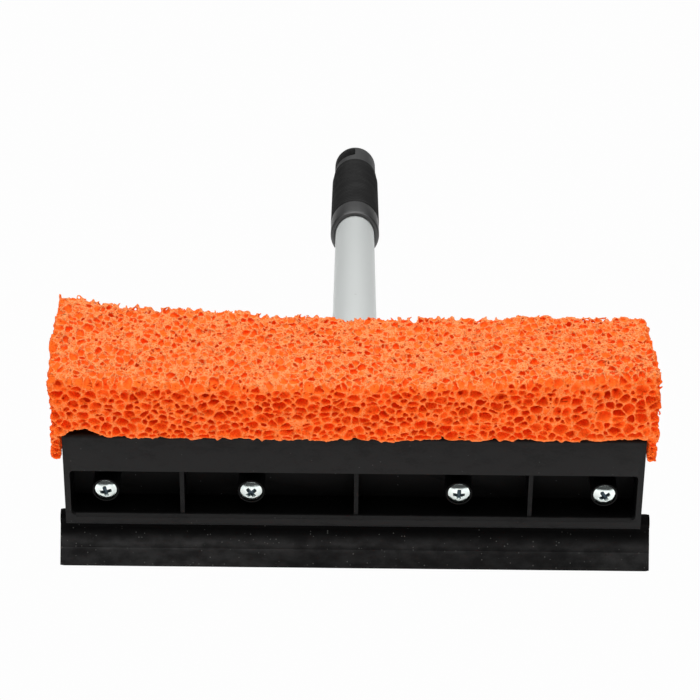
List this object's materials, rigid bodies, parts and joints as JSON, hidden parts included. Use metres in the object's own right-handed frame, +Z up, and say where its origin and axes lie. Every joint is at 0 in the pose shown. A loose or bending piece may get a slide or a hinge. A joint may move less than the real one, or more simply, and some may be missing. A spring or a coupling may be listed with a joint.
{
  "type": "windscreen squeegee",
  "caption": "Windscreen washing squeegee: a moulded head with a sponge above and a rubber blade below, on a telescoping twist-lock tube handle with a ribbed grip.",
  "frame": {"origin": "middle of the underside of the bounding box, on the surface that the tool lies on", "axes": "+X to the right of someone who looks at the front face, +Y from the front face along the handle to the end cap, +Z up"},
  "size_m": [0.2084, 0.5892, 0.0907],
  "materials": {
    "head_plastic": "matte black, finely textured",
    "blade_rubber": "matte black with a little dust",
    "sponge_foam": "open-celled orange foam",
    "screw_zinc": "bright zinc plate",
    "tube_paint": "satin light grey paint",
    "bare_steel": "bare drawn steel",
    "lock_plastic": "natural nylon",
    "grip_plastic": "dark grey satin plastic",
    "sleeve_rubber": "ribbed matte black rubber"
  },
  "bodies": {
    "head": {"front_housing": "head_plastic", "rear_housing": "head_plastic", "squeegee_blade": "blade_rubber", "sponge": "sponge_foam", "housing_screw_1": "screw_zinc", "housing_screw_2": "screw_zinc", "housing_screw_3": "screw_zinc", "housing_screw_4": "screw_zinc", "socket_screw": "screw_zinc", "sliding_tube": "tube_paint", "tube_plug": "head_plastic", "lock_spindle": "lock_plastic", "lock_cone": "bare_steel", "lock_stop_screw": "screw_zinc"},
    "twist_lock": {"lock_expander": "lock_plastic"},
    "grip": {"grip_tube": "bare_steel", "mouth_collar": "grip_plastic", "grip_sleeve": "sleeve_rubber", "end_cap": "grip_plastic"}
  },
  "joints": [
    {"name": "grip_twist", "type": "hinge", "parent": "head", "child": "twist_lock", "pos_m": [0, 0.13929, 0.01851], "axis": [0, 0.9987, -0.051], "range_deg": [0, 180]},
    {"name": "grip_slide", "type": "slide", "parent": "twist_lock", "child": "grip", "axis": [0, -0.9987, 0.051], "range_m": [0, 0.088]}
  ]
}
